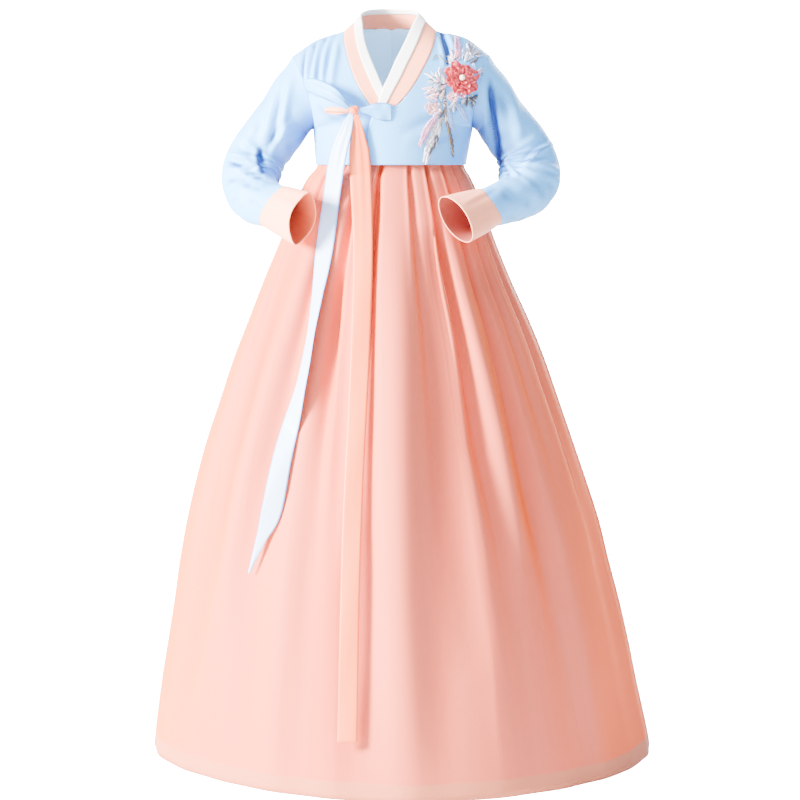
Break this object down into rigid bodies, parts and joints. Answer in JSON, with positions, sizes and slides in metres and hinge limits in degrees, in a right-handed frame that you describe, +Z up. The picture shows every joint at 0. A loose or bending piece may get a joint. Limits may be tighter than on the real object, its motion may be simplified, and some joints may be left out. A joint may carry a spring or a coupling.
{
  "type": "korean hanbok",
  "caption": "Korean hanbok in its worn form: short blue jacket with ribbon ties and a floral applique over a long pleated peach skirt.",
  "frame": {"origin": "base of the neck, midway between the shoulders, where the wearer carries it", "axes": "+Z up, -Y to the front of the wearer, +X to the wearer's left"},
  "size_m": [0.9329, 0.9105, 1.3612],
  "materials": {
    "sky_blue": "satin, finely ribbed",
    "peach_organza": "sheer organza over a lining",
    "peach_lining": "matte taffeta",
    "pale_peach": "satin",
    "white": "crisp matte",
    "ice_blue": "satin",
    "coral": "organza",
    "pearl": "pearly",
    "lilac_leaf": "silky",
    "silver_leaf": "metallic thread"
  },
  "bodies": {
    "root": {"chima_front": "peach_organza", "chima_back": "peach_organza", "chima_lining": "peach_lining", "chima_band": "pale_peach", "jeogori_front_right": "sky_blue", "jeogori_front_left": "sky_blue", "jeogori_back_right": "sky_blue", "jeogori_back_left": "sky_blue", "sleeve_right": "sky_blue", "sleeve_left": "sky_blue", "cuff_right": "pale_peach", "cuff_left": "pale_peach", "git_collar": "pale_peach", "dongjeong": "white", "goreum_blue": "ice_blue", "goreum_peach": "peach_organza", "tie_root": "sky_blue", "bow_loop_blue": "sky_blue", "bow_loop_peach": "pale_peach", "bow_knot": "pale_peach", "flower_outer": "coral", "flower_inner": "coral", "flower_pearl": "pearl", "leaf_top": "lilac_leaf", "leaf_left_high": "silver_leaf", "leaf_left_mid": "lilac_leaf", "spray_lilac": "lilac_leaf", "spray_silver": "silver_leaf", "blossom_low": "pale_peach", "blossom_high": "pale_peach"}
  },
  "joints": []
}
